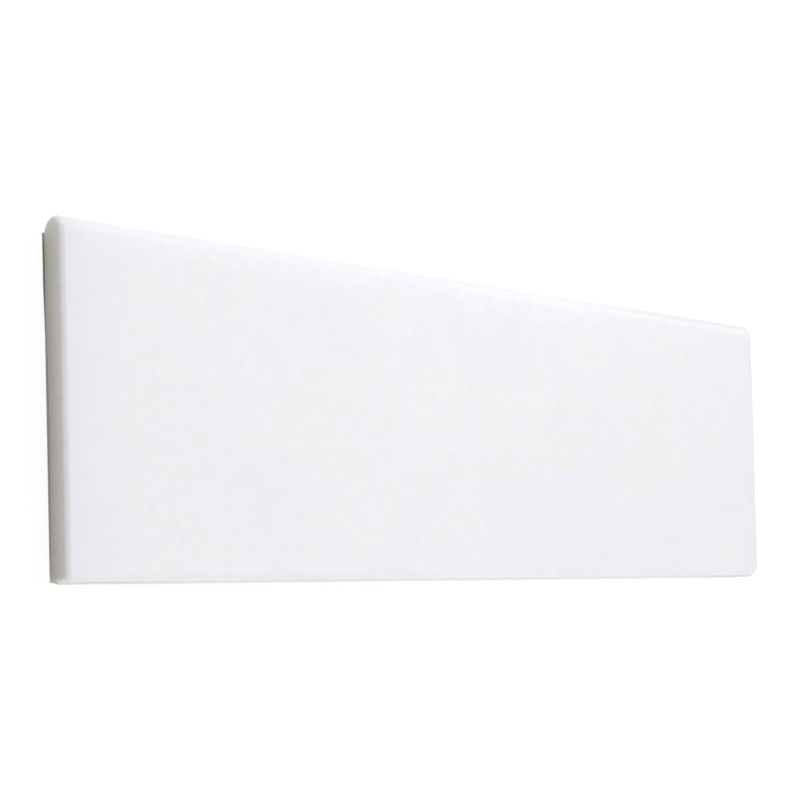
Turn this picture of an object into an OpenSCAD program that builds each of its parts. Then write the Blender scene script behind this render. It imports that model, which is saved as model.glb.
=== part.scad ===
// Glazed ceramic trim tile, three times as long as it is wide, lying on its back, glazed face up.
// One long edge is a full half-round nose. The other long edge and both ends are square with
// softly rounded arrises, and the end arrises run on round the nose without a break. Seen from
// above, the square edge has a crisp corner at one end and an eased one at the other.
// The back is slightly hollow between two flat lands. The end arrises follow the hollow, and
// shallow keying grooves run along it for the adhesive.
// Origin: middle of the footprint on the plane of the back lands.
// X runs along the tile, Y across it with the nose at +Y, Z up through the thickness.

/* [Tile] */
// length along X
tile_len = 300; // [150:1:400]
// width across Y, from the square edge to the tip of the nose
tile_wid = 100; // [80:1:150]
// thickness, which is also the diameter of the half-round nose
tile_thk = 10.5; // [8:0.1:14]

/* [Edges] */
// rounding of the face and back arrises, round the ends and along the square edge
arris_r = 1.8; // [0.5:0.1:2]
// radius in plan of the square edge's corner at the -X end
crisp_corner_r = 2.2; // [2.2:0.1:6]
// radius in plan of the square edge's corner at the +X end, which is eased more
eased_corner_r = 5.5; // [2.2:0.1:6]

/* [Hollow back] */
// depth of the hollow at its middle
hollow_depth = 1.0; // [0.3:0.1:1.4]
// flat land left along the square edge
edge_land = 6; // [6:0.5:10]
// flat land left along the nose, measured from the tip of the nose
nose_land = 28; // [20:1:32]

/* [Keying grooves] */
// number of grooves side by side in the hollow
groove_count = 5; // [1:1:5]
// depth of each groove below the floor of the hollow
groove_depth = 0.5; // [0.3:0.1:1]
// radius of the round-bottomed groove
groove_r = 4; // [3:0.5:5]
// distance from the ends of the grooves to the ends of the tile
groove_inset = 16; // [8:1:30]

/* [Hidden] */
nose_r = tile_thk / 2;
nose_y = tile_wid / 2 - nose_r;
edge_y = -tile_wid / 2;
// the hollow is part of a wide ring whose axis runs along X below the tile
hollow_y0 = edge_y + edge_land;
hollow_y1 = tile_wid / 2 - nose_land;
hollow_y = (hollow_y0 + hollow_y1) / 2;
hollow_half = (hollow_y1 - hollow_y0) / 2;
hollow_r = (hollow_half * hollow_half + hollow_depth * hollow_depth) / (2 * hollow_depth);
// grooves are spread evenly across the hollow
groove_pitch = 2 * hollow_half / (groove_count + 1);
groove_len = tile_len - 2 * groove_inset;
over = 1;
// rounding of the end arrises along the hollow, a little tighter than beside it
flare_r = arris_r - 0.1;
// half angle of the ring, wide enough for its sides to lie wholly under the tile
hollow_turn = acos(1 - (hollow_depth + arris_r + over) / hollow_r);

fn_arris = 32;
fn_nose = 96;
fn_corner = 64;
fn_hollow = 1080;
fn_groove = 64;

// height of the hollow's floor above the lands at a given Y
function hollow_z(y) = sqrt(hollow_r * hollow_r - (y - hollow_y) * (y - hollow_y)) - hollow_r + hollow_depth;

// rectangle centred on the origin with its four corners rounded
module soft_rect(w, h, r) {
    square([w - 2 * r, h], center = true);
    square([w, h - 2 * r], center = true);
    for (sx = [-1, 1])
        for (sy = [-1, 1])
            translate([sx * (w / 2 - r), sy * (h / 2 - r)])
                circle(r = r, $fn = fn_arris);
}

// right half of a soft rectangle, for turning about its middle line
module half_soft_rect(w, h, r) {
    intersection() {
        soft_rect(w, h, r);
        translate([0, -h])
            square([w, 2 * h]);
    }
}

// flat half of the tile at the +X end, from the axis of the nose to a plan corner of radius r,
// drawn out both ways from the middle so that it ends exactly where its neighbours start
module flat_half(r) {
    translate([0, 0, nose_r]) {
        rotate([90, 0, 0])
            linear_extrude(height = -(edge_y + r))
                half_soft_rect(tile_len, tile_thk, arris_r);
        rotate([-90, 0, 0])
            linear_extrude(height = nose_y)
                half_soft_rect(tile_len, tile_thk, arris_r);
    }
}

// quarter-turn plan corner of radius r at the +X end of the square edge
module plan_corner(r) {
    translate([tile_len / 2 - r, edge_y + r, nose_r])
        rotate([0, 0, -90])
            rotate_extrude(angle = 90, $fn = fn_corner)
                half_soft_rect(2 * r, tile_thk, arris_r);
}

// strip along the square edge, from the middle of the tile to a plan corner of radius r at the +X end
module square_edge_half(r) {
    strip_wid = 3 * r;
    translate([0, edge_y + strip_wid / 2, nose_r])
        rotate([90, 0, 90])
            linear_extrude(height = tile_len / 2 - r)
                soft_rect(strip_wid, tile_thk, arris_r);
}

// all but the nose of the half at the +X end
module square_half(r) {
    flat_half(r);
    square_edge_half(r);
    plan_corner(r);
}

// half-round nose, turned about its own axis so the end arrises follow it round
module nose() {
    translate([0, nose_y, nose_r])
        rotate([0, 90, 0])
            rotate_extrude(angle = 180, $fn = fn_nose)
                half_soft_rect(tile_thk, tile_len, arris_r);
}

// section of the hollow, radius along X and length along Y, flared at both ends as the arrises are
module hollow_section() {
    band = hollow_depth + over;
    translate([hollow_r - band, -tile_len / 2 - over])
        square([band, tile_len + 2 * over]);
    for (side = [0, 1])
        mirror([0, side])
            translate([hollow_r, tile_len / 2 - flare_r])
                difference() {
                    square([flare_r, flare_r + over]);
                    translate([flare_r, 0])
                        circle(r = flare_r, $fn = fn_arris);
                }
}

// wide shallow ring that hollows the back
module hollow() {
    translate([0, hollow_y, hollow_depth - hollow_r])
        rotate([0, 90, 0])
            rotate([0, 0, 180 - hollow_turn])
                rotate_extrude(angle = 2 * hollow_turn, $fn = fn_hollow)
                    hollow_section();
}

// half outline of a round bar with ball ends, for turning about its own axis
module half_bar(len, r) {
    intersection() {
        union() {
            square([2 * r, len - 2 * r], center = true);
            for (sy = [-1, 1])
                translate([0, sy * (len / 2 - r)])
                    circle(r = r, $fn = fn_groove);
        }
        translate([0, -len])
            square([2 * r, 2 * len]);
    }
}

// bar with ball ends that cuts one keying groove at a given Y
module keying_groove(y) {
    translate([0, y, hollow_z(y) + groove_depth - groove_r])
        rotate([0, 90, 0])
            rotate_extrude($fn = fn_groove)
                half_bar(groove_len, groove_r);
}

module tile() {
    color([0.94, 0.945, 0.95])
    difference() {
        union() {
            square_half(eased_corner_r);
            mirror([1, 0, 0])
                square_half(crisp_corner_r);
            nose();
        }
        hollow();
        for (i = [1 : groove_count])
            keying_groove(hollow_y0 + i * groove_pitch);
    }
}

tile();
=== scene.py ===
"""A glazed bullnose tile, lying on its back on a white floor and seen from above its left end."""
import math

import bpy
from mathutils import Matrix, Vector


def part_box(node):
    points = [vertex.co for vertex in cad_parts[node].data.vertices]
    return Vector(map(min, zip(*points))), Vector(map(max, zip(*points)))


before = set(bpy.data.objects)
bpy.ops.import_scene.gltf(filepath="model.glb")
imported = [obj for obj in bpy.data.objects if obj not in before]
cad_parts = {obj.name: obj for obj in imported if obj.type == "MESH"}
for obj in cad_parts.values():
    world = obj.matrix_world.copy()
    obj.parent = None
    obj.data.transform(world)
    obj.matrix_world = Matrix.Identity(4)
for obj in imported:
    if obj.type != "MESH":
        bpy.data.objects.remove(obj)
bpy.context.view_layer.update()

TILE_LOW, TILE_HIGH = (Vector(corner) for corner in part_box("tile"))

# Sizes in metres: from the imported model's box, and the part's own arris radius
TILE_THK = TILE_HIGH.z - TILE_LOW.z
NOSE_RADIUS = TILE_THK / 2
NOSE_AXIS_Y = TILE_HIGH.y - NOSE_RADIUS
ARRIS_RADIUS = 0.0018

# Camera: the photograph's view, with the face plane as reference
CAM_X, CAM_Y = -0.3312, -0.0575
CAM_ABOVE_FACE = 0.3586
CAM_TURN_DEG = 39.59
CAM_TILT_DEG = 1.21
CAM_ROLL_DEG = -1.38
IMAGE_PX = 800
FOCAL_PX = 1472.1
HORIZON_DROP_PX = 173.0
SENSOR_MM = 36.0

# Colours, as linear values
GLAZE = (0.848, 0.859, 0.876, 1.0)
GLAZE_LILAC = (0.838, 0.842, 0.908, 1.0)
GLAZE_WARM = (0.852, 0.842, 0.842, 1.0)
# the next six colours also serve painted shade on the arrises and beside the ends, and painted light at the
# nose root and on the square edge's arris
GLAZE_MOTTLE_AND_SHADE = (0.780, 0.775, 0.765, 1.0)
GLAZE_END_SHADE = (0.785, 0.790, 0.856, 1.0)
GLAZE_ARRIS_SHADE = (0.712, 0.712, 0.717, 1.0)
GLAZE_PIT_AND_SHADE = (0.640, 0.640, 0.650, 1.0)
GLAZE_SPECK_AND_LIGHT = (0.930, 0.935, 0.945, 1.0)
GLAZE_NOSE_LIGHT = (0.928, 0.935, 0.980, 1.0)
BODY_PINK = (0.538, 0.491, 0.441, 1.0)
BODY_GREEN = (0.506, 0.492, 0.426, 1.0)
BODY_DARK = (0.440, 0.415, 0.365, 1.0)
# painted shade on the body where it faces down
BODY_SHADE_GREY = (0.200, 0.190, 0.175, 1.0)
# painted light on the body's ends, near the glazed outline
BODY_PAINTED_LIGHT = (0.825, 0.822, 0.765, 1.0)
FLOOR = (0.90, 0.90, 0.90, 1.0)
# painted shadow colour for the floor's crevice near the nose
FLOOR_PAINTED_SHADOW = (0.45, 0.45, 0.44, 1.0)

# Glaze and body: roughness from smoothest to roughest, and height of the relief in metres
GLAZE_ROUGH = (0.29, 0.34)
BODY_ROUGH = 0.9
GLAZE_IOR = 1.5
WAVE_HEIGHT, SAND_HEIGHT = 0.00008, 0.00012
# Height where the glaze runs out: on the square edge, and on everything else
FOOT_SQUARE_EDGE, FOOT_ELSEWHERE = 0.0046, 0.0016
DRIP_HEIGHT = 0.0009
# Depth on the ends below the glazed outline over which the painted light on the body fades, broad and strong
LIGHT_FADE_DEPTH, LIGHT_STRONG_DEPTH = 0.0086, 0.002

# Floor, in metres. Share of its own shading where it is seen directly near the tile, which fades to
# none between two distances from the middle; the rest is plain white
FLOOR_HALF, FLOOR_Z = 6.0, -0.0002
OPEN_SHADING = 0.12
SHADOW_REACH, FLOOR_FADED = 0.35, 0.80
PLAIN_WHITE = 1.05
# Reach of the dark line on the floor, out from where the back touches it, and near the nose
CREVICE_REACH, CREVICE_REACH_NOSE = 0.0013, 0.0016
CREVICE_BLUR = 0.00005

# Light: the world's strength, then each lamp's name, place, size in metres and power in watts
WORLD_LIGHT = 0.500
LAMPS = (
    ("far_corner", (1.5, 1.5, 1.4), 2.4, 25.1),
    ("high_right", (1.0, 0.0, 2.0), 1.6, 8.7),
    ("low_nose_side", (0.0, 2.0, 0.62), 1.2, 10.6),
    ("low_edge_side", (0.0, -2.0, 0.62), 1.2, 17.7),
)


class Graph:
    """A node material under construction, with short calls for the nodes used here."""

    def __init__(self, tree):
        self.tree = tree
        tree.nodes.clear()

    def node(self, kind, **settings):
        """Adds a node and sets its properties."""
        node = self.tree.nodes.new(kind)
        for name, value in settings.items():
            setattr(node, name, value)
        return node

    def plug(self, value, socket):
        """Links a socket into another, or sets a constant on it."""
        if isinstance(value, bpy.types.NodeSocket):
            self.tree.links.new(value, socket)
        else:
            socket.default_value = value

    def math(self, operation, first, second=0.0):
        """One Math node on two values."""
        node = self.node("ShaderNodeMath", operation=operation)
        self.plug(first, node.inputs[0])
        self.plug(second, node.inputs[1])
        return node.outputs[0]

    def ramp(self, value, low, high, to_low=0.0, to_high=1.0, smooth=True):
        """Maps a value from one range to another and holds it there."""
        kind = "SMOOTHSTEP" if smooth else "LINEAR"
        node = self.node("ShaderNodeMapRange", interpolation_type=kind)
        self.plug(value, node.inputs["Value"])
        for name, number in (("From Min", low), ("From Max", high), ("To Min", to_low), ("To Max", to_high)):
            self.plug(number, node.inputs[name])
        return node.outputs["Result"]

    def noise(self, place, scale, detail=2.0, roughness=0.5):
        """Noise with its scale in cycles a metre."""
        node = self.node("ShaderNodeTexNoise")
        self.plug(place, node.inputs["Vector"])
        for name, number in (("Scale", scale), ("Detail", detail), ("Roughness", roughness)):
            self.plug(number, node.inputs[name])
        return node.outputs["Fac"]

    def stretched(self, place, scale):
        """The same place with each axis scaled on its own."""
        node = self.node("ShaderNodeMapping")
        self.plug(place, node.inputs["Vector"])
        self.plug(scale, node.inputs["Scale"])
        return node.outputs[0]

    def mix(self, amount, first, second):
        """Mixes two colours."""
        node = self.node("ShaderNodeMix", data_type="RGBA")
        self.plug(amount, node.inputs["Factor"])
        self.plug(first, node.inputs[6])
        self.plug(second, node.inputs[7])
        return node.outputs[2]

    def mix_value(self, amount, first, second):
        """Mixes two numbers."""
        node = self.node("ShaderNodeMix", data_type="FLOAT")
        self.plug(amount, node.inputs["Factor"])
        self.plug(first, node.inputs[2])
        self.plug(second, node.inputs[3])
        return node.outputs[0]

    def split(self, vector):
        """The three parts of a vector."""
        node = self.node("ShaderNodeSeparateXYZ")
        self.plug(vector, node.inputs[0])
        return node.outputs

    def finish(self, surface, kind="ShaderNodeOutputMaterial"):
        """Links the last shader to the output."""
        self.plug(surface, self.node(kind).inputs["Surface"])


def new_material(name):
    """An empty node material and its graph."""
    material = bpy.data.materials.new(name)
    material.use_nodes = True
    return material, Graph(material.node_tree)


def glaze_colour(g, place, x, y, normal):
    """Cool white glaze: soft clouds, faint bands along the tile, fine mottling, painted shade on the
    arrises, beside the ends and over the nose's far end, and painted light at the nose root and on the
    square edge's arris.
    """
    far_out = g.math("ABSOLUTE", x)
    clouds = g.ramp(g.noise(place, 26.0, 5.0, 0.7), 0.46, 0.68)
    patches = g.ramp(g.noise(place, 170.0, 2.0, 0.6), 0.42, 0.62, 0.0, 0.45)
    colour = g.mix(g.math("ADD", g.math("MULTIPLY", clouds, 0.8), patches), GLAZE, GLAZE_LILAC)

    # faint warm blotches drawn out along the length, across the middle of the face
    bands = g.ramp(g.noise(g.stretched(place, (30.0, 260.0, 1.0)), 1.0, 4.0, 0.65), 0.40, 0.64)
    blotches = g.ramp(g.noise(place, 38.0, 3.0, 0.6), 0.44, 0.62)
    from_middle = g.math("ABSOLUTE", g.math("SUBTRACT", y, 0.001))
    in_middle = g.ramp(from_middle, 0.026, 0.014)
    warm = g.math("MULTIPLY", g.math("MULTIPLY", bands, blotches), in_middle)
    colour = g.mix(warm, colour, GLAZE_WARM)

    # painted light: brighter at the root of the nose, fading up the nose and towards the far end
    nose_root_light = g.ramp(y, NOSE_AXIS_Y - 0.0075, NOSE_AXIS_Y + 0.0010, 0.0, 0.49)
    nose_root_light = g.math("MULTIPLY", nose_root_light, g.ramp(normal["Y"], 0.15, 0.65, 1.0, 0.35))
    nose_root_light = g.math("MULTIPLY", nose_root_light, g.ramp(x, 0.12, 0.03))
    colour = g.mix(nose_root_light, colour, GLAZE_NOSE_LIGHT)
    # painted light: brighter on the upper part of the square edge's arris, over the near half of the tile,
    # fading out at the near end
    square_arris_light = g.math("MULTIPLY", g.ramp(normal["Y"], -0.20, -0.45, 0.0, 0.6), g.ramp(x, 0.090, 0.010))
    square_arris_light = g.math("MULTIPLY", square_arris_light, g.ramp(x, TILE_LOW.x, TILE_LOW.x + 0.020))
    colour = g.mix(square_arris_light, colour, GLAZE_SPECK_AND_LIGHT)

    # painted shade: darker and bluer on the face beside both ends, more so at the near one, and along the
    # square edge over the near half
    beside = g.math("ADD", g.ramp(far_out, TILE_HIGH.x - 0.0085, TILE_HIGH.x - 0.0020, 0.0, 0.60),
                    g.ramp(far_out, TILE_HIGH.x - 0.0250, TILE_HIGH.x - 0.0050, 0.0, 0.40))
    beside = g.math("MULTIPLY", beside, g.ramp(x, -0.05, 0.05, 1.0, 0.42))
    across_end = g.math("MULTIPLY", normal["X"], normal["X"])
    beside = g.math("MULTIPLY", beside, g.ramp(across_end, 0.05, 0.40, 1.0, 0.0))
    along_edge = g.ramp(y, TILE_LOW.y + 0.0032, TILE_LOW.y + 0.0015)
    along_edge = g.math("MULTIPLY", along_edge, g.ramp(x, 0.01, -0.07, 0.0, 0.35))
    colour = g.mix(g.math("MAXIMUM", beside, along_edge), colour, GLAZE_END_SHADE)

    # mottling, soft and fine, with a few pits and bright specks
    soft = g.ramp(g.noise(place, 130.0, 3.0, 0.75), 0.35, 0.65, 0.0, 0.15)
    mottle = g.ramp(g.noise(place, 520.0, 2.0, 0.5), 0.3, 0.7, 0.0, 0.17)
    colour = g.mix(g.math("ADD", soft, mottle), colour, GLAZE_MOTTLE_AND_SHADE)
    pits = g.ramp(g.noise(place, 1150.0, 1.0, 0.5), 0.70, 0.80, 0.0, 0.30)
    specks = g.ramp(g.noise(g.stretched(place, (-1.0, 1.0, 1.0)), 950.0, 1.0, 0.5), 0.72, 0.80, 0.0, 0.30)
    colour = g.mix(specks, g.mix(pits, colour, GLAZE_PIT_AND_SHADE), GLAZE_SPECK_AND_LIGHT)

    # an end arris faces between two main directions: the square of its normal's X part is about a half.
    # Painted shade on the end arrises, much stronger at the far end
    end_arris_shade = g.math("MULTIPLY", across_end, g.math("SUBTRACT", 1.0, across_end))
    colour = g.mix(g.math("MULTIPLY", end_arris_shade, g.ramp(x, -0.1, 0.1, 1.0, 9.0)), colour, GLAZE_MOTTLE_AND_SHADE)
    # painted shade down the square edge's arris, more so at its ends, and over the nose's far end
    starts, ends = g.ramp(x, -0.14, -0.06, -0.62, -0.50), g.ramp(far_out, 0.100, 0.138, -0.93, -0.78)
    square_arris_shade = g.ramp(normal["Y"], starts, ends)
    nose_far_shade = g.ramp(normal["Y"], 0.0, 0.8, 0.0, 0.76, smooth=False)
    nose_far_shade = g.math("MULTIPLY", nose_far_shade, g.ramp(x, 0.03, 0.12))
    arris_shade_colour = g.mix(g.ramp(far_out, 0.095, 0.135), GLAZE_ARRIS_SHADE, GLAZE_PIT_AND_SHADE)
    colour = g.mix(nose_far_shade, colour, GLAZE_ARRIS_SHADE)
    return g.mix(square_arris_shade, colour, arris_shade_colour)


def body_colour(g, place, y, z, normal):
    """Warm fired body: grain, painted light that makes it lighter towards the glazed outline and most over
    the nose end, and painted shade where it faces down, on the back arris and the back.
    """
    colour = g.mix(g.ramp(g.noise(place, 190.0, 2.0), 0.40, 0.60), BODY_PINK, BODY_GREEN)
    grain = g.ramp(g.noise(place, 900.0, 4.0, 0.6), 0.42, 0.70)
    colour = g.mix(g.math("MULTIPLY", grain, 0.6), colour, BODY_DARK)

    # distance from the glazed outline: down from the face, and inwards from the surface of the nose
    below_face = g.math("SUBTRACT", TILE_THK, z)
    past_axis = g.math("MAXIMUM", g.math("SUBTRACT", y, NOSE_AXIS_Y), 0.0)
    off_axis = g.math("SUBTRACT", z, NOSE_RADIUS)
    squares = g.math("ADD", g.math("MULTIPLY", past_axis, past_axis), g.math("MULTIPLY", off_axis, off_axis))
    inside_nose = g.math("SUBTRACT", NOSE_RADIUS, g.math("SQRT", squares))
    at_nose = g.ramp(y, NOSE_AXIS_Y - 0.003, NOSE_AXIS_Y + 0.003)
    depth = g.mix_value(at_nose, below_face, inside_nose)
    # painted light: the body is lighter the nearer it is to the glazed outline, most over the nose end, with
    # patchy variation
    light_patchiness = g.ramp(g.noise(place, 700.0, 3.0, 0.7), 0.3, 0.7, -0.10, 0.10)
    broad_light = g.ramp(depth, 0.0, LIGHT_FADE_DEPTH, 0.70, 0.0, smooth=False)
    body_light = g.math("ADD", broad_light, g.ramp(depth, 0.0, LIGHT_STRONG_DEPTH, 0.14, 0.0))
    body_light = g.mix_value(g.math("MULTIPLY", at_nose, 0.36), body_light, 0.9)
    colour = g.mix(g.math("ADD", body_light, g.math("MULTIPLY", light_patchiness, body_light)), colour, BODY_PAINTED_LIGHT)

    # painted shade: greyer and darker where the body faces down, on the back arris and the back
    down = g.math("MULTIPLY", normal["Z"], -1.0)
    return g.mix(g.ramp(down, 0.02, 0.40, 0.0, 0.45), colour, BODY_SHADE_GREY)


def tile_material():
    """Gloss glaze over the face, nose and arrises, and the bare fired body on the ends, edge and back."""
    material, g = new_material("glazed_tile")
    where = g.node("ShaderNodeTexCoord")
    place = where.outputs["Object"]
    x, y, z = g.split(place)
    normal = {name: socket for name, socket in zip("XYZ", g.split(where.outputs["Normal"]))}

    # bare where the surface faces an end or down, and below the line where the glaze ran out
    down = g.math("MINIMUM", normal["Z"], 0.0)
    facing = g.math("ADD", g.math("MULTIPLY", normal["X"], normal["X"]), g.math("MULTIPLY", down, down))
    wander = g.ramp(g.noise(place, 420.0, 4.0, 0.7), 0.3, 0.7, -0.14, 0.14)
    end_bare = g.ramp(g.math("ADD", facing, wander), 0.46, 0.84)
    drips = g.ramp(g.noise(place, 85.0, 2.0), 0.3, 0.7, -DRIP_HEIGHT, DRIP_HEIGHT)
    glaze_foot = g.ramp(y, TILE_LOW.y + 0.003, TILE_LOW.y + 0.004, FOOT_SQUARE_EDGE, FOOT_ELSEWHERE)
    above_foot = g.math("SUBTRACT", g.math("ADD", z, drips), glaze_foot)
    bare = g.math("MAXIMUM", end_bare, g.ramp(above_foot, 0.0004, -0.0004))

    colour = g.mix(bare, glaze_colour(g, place, x, y, normal), body_colour(g, place, y, z, normal))
    glaze_rough = g.ramp(g.noise(place, 60.0, 3.0), 0.3, 0.7, *GLAZE_ROUGH)
    rough = g.mix_value(bare, glaze_rough, BODY_ROUGH)

    # relief in metres: soft waviness under the glaze, and a sandy grain on the bare body
    waves = g.math("MULTIPLY", g.noise(place, 55.0, 1.0), WAVE_HEIGHT)
    sand = g.math("MULTIPLY", g.noise(place, 1400.0, 3.0, 0.65), SAND_HEIGHT)
    bump = g.node("ShaderNodeBump")
    g.plug(1.0, bump.inputs["Distance"])
    g.plug(g.mix_value(bare, waves, sand), bump.inputs["Height"])

    shader = g.node("ShaderNodeBsdfPrincipled")
    g.plug(GLAZE_IOR, shader.inputs["IOR"])
    g.plug(colour, shader.inputs["Base Color"])
    g.plug(rough, shader.inputs["Roughness"])
    g.plug(bump.outputs["Normal"], shader.inputs["Normal"])
    g.finish(shader.outputs[0])
    return material


def seen_directly(g):
    """Is the ray one that shows the background: from the camera, or by gloss or glass?"""
    path = g.node("ShaderNodeLightPath").outputs
    gloss = g.math("MAXIMUM", path["Is Glossy Ray"], path["Is Transmission Ray"])
    return g.math("MAXIMUM", path["Is Camera Ray"], gloss)


def make_floor():
    """White floor under the tile. Where it is seen directly its shadow is faint on plain white, and near the
    nose its crevice has a painted shadow colour.
    """
    mesh = bpy.data.meshes.new("floor")
    corners = [(x * FLOOR_HALF, y * FLOOR_HALF, FLOOR_Z) for x, y in ((-1, -1), (1, -1), (1, 1), (-1, 1))]
    mesh.from_pydata(corners, [], [(0, 1, 2, 3)])
    floor = bpy.data.objects.new("floor", mesh)
    bpy.context.scene.collection.objects.link(floor)

    material, g = new_material("floor_white")
    place = g.node("ShaderNodeTexCoord").outputs["Object"]
    # distance out from the flat of the back, which ends at the arrises and at the nose's axis
    x, y, _ = g.split(place)
    past_end = g.math("SUBTRACT", g.math("ABSOLUTE", x), TILE_HIGH.x - ARRIS_RADIUS)
    past_edge = g.math("SUBTRACT", TILE_LOW.y + ARRIS_RADIUS, y)
    past_nose = g.math("SUBTRACT", y, NOSE_AXIS_Y)
    out = g.math("MAXIMUM", past_end, g.math("MAXIMUM", past_edge, past_nose))
    near_nose = g.ramp(y, 0.016, 0.034)
    reach = g.mix_value(near_nose, CREVICE_REACH, CREVICE_REACH_NOSE)
    is_open = g.ramp(g.math("SUBTRACT", out, reach), -CREVICE_BLUR, CREVICE_BLUR)
    seen = seen_directly(g)
    in_crevice = g.math("MULTIPLY", g.math("SUBTRACT", 1.0, is_open), seen)
    paint = g.node("ShaderNodeBsdfDiffuse")
    # painted shadow: near the nose the crevice floor takes a darker colour
    darker = g.math("MULTIPLY", in_crevice, near_nose)
    g.plug(g.mix(darker, FLOOR, FLOOR_PAINTED_SHADOW), paint.inputs["Color"])
    white = g.node("ShaderNodeEmission")
    g.plug(PLAIN_WHITE, white.inputs["Strength"])
    away = g.node("ShaderNodeVectorMath", operation="LENGTH")
    g.plug(place, away.inputs[0])
    open_white = g.ramp(away.outputs["Value"], SHADOW_REACH, FLOOR_FADED, 1.0 - OPEN_SHADING, 1.0)
    plain = g.math("MULTIPLY", g.math("MULTIPLY", is_open, open_white), seen)
    share = g.node("ShaderNodeMixShader")
    g.plug(plain, share.inputs[0])
    g.plug(paint.outputs[0], share.inputs[1])
    g.plug(white.outputs[0], share.inputs[2])
    g.finish(share.outputs[0])
    mesh.materials.append(material)


def make_world(strength):
    """Plain even light, with a white background where it is seen directly."""
    world = bpy.data.worlds.new("studio")
    bpy.context.scene.world = world
    world.use_nodes = True
    g = Graph(world.node_tree)
    background = g.node("ShaderNodeBackground")
    g.plug((1.0, 1.0, 1.0, 1.0), background.inputs["Color"])
    g.plug(g.mix_value(seen_directly(g), strength, 1.0), background.inputs["Strength"])
    g.finish(background.outputs[0], "ShaderNodeOutputWorld")


def soft_light(name, place, size, power):
    """Square soft light at a place, aimed at the tile."""
    data = bpy.data.lights.new(name, "AREA")
    data.shape = "SQUARE"
    data.size = size
    data.energy = power
    lamp = bpy.data.objects.new(name, data)
    lamp.location = place
    lamp.rotation_euler = (-Vector(place)).to_track_quat("-Z", "Y").to_euler()
    bpy.context.scene.collection.objects.link(lamp)


def make_camera():
    """Camera turned from square-on to the face, as the photograph's perspective gives it."""
    turn, tilt, roll = (math.radians(a) for a in (CAM_TURN_DEG, CAM_TILT_DEG, CAM_ROLL_DEG))
    # square-on axes: the face's +X to the right, +Y up, looking down on the face
    look = Vector((math.sin(turn) * math.cos(tilt), math.sin(tilt), -math.cos(turn) * math.cos(tilt)))
    right = Vector((math.cos(turn), 0.0, math.sin(turn)))
    up = right.cross(look)
    rolled_right = right * math.cos(roll) + up * math.sin(roll)
    rolled_up = up * math.cos(roll) - right * math.sin(roll)
    turned = Matrix((rolled_right, rolled_up, -look)).transposed().to_4x4()

    data = bpy.data.cameras.new("camera")
    data.sensor_width = SENSOR_MM
    data.lens = FOCAL_PX / IMAGE_PX * SENSOR_MM
    data.shift_y = HORIZON_DROP_PX / IMAGE_PX
    data.clip_start, data.clip_end = 0.01, 50.0
    camera = bpy.data.objects.new("camera", data)
    camera.matrix_world = Matrix.Translation((CAM_X, CAM_Y, TILE_THK + CAM_ABOVE_FACE)) @ turned
    bpy.context.scene.collection.objects.link(camera)
    bpy.context.scene.camera = camera


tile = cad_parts["tile"]
tile.data.materials.clear()
tile.data.materials.append(tile_material())

make_floor()
make_world(WORLD_LIGHT)
for lamp_settings in LAMPS:
    soft_light(*lamp_settings)
make_camera()
bpy.context.scene.view_settings.view_transform = "Standard"
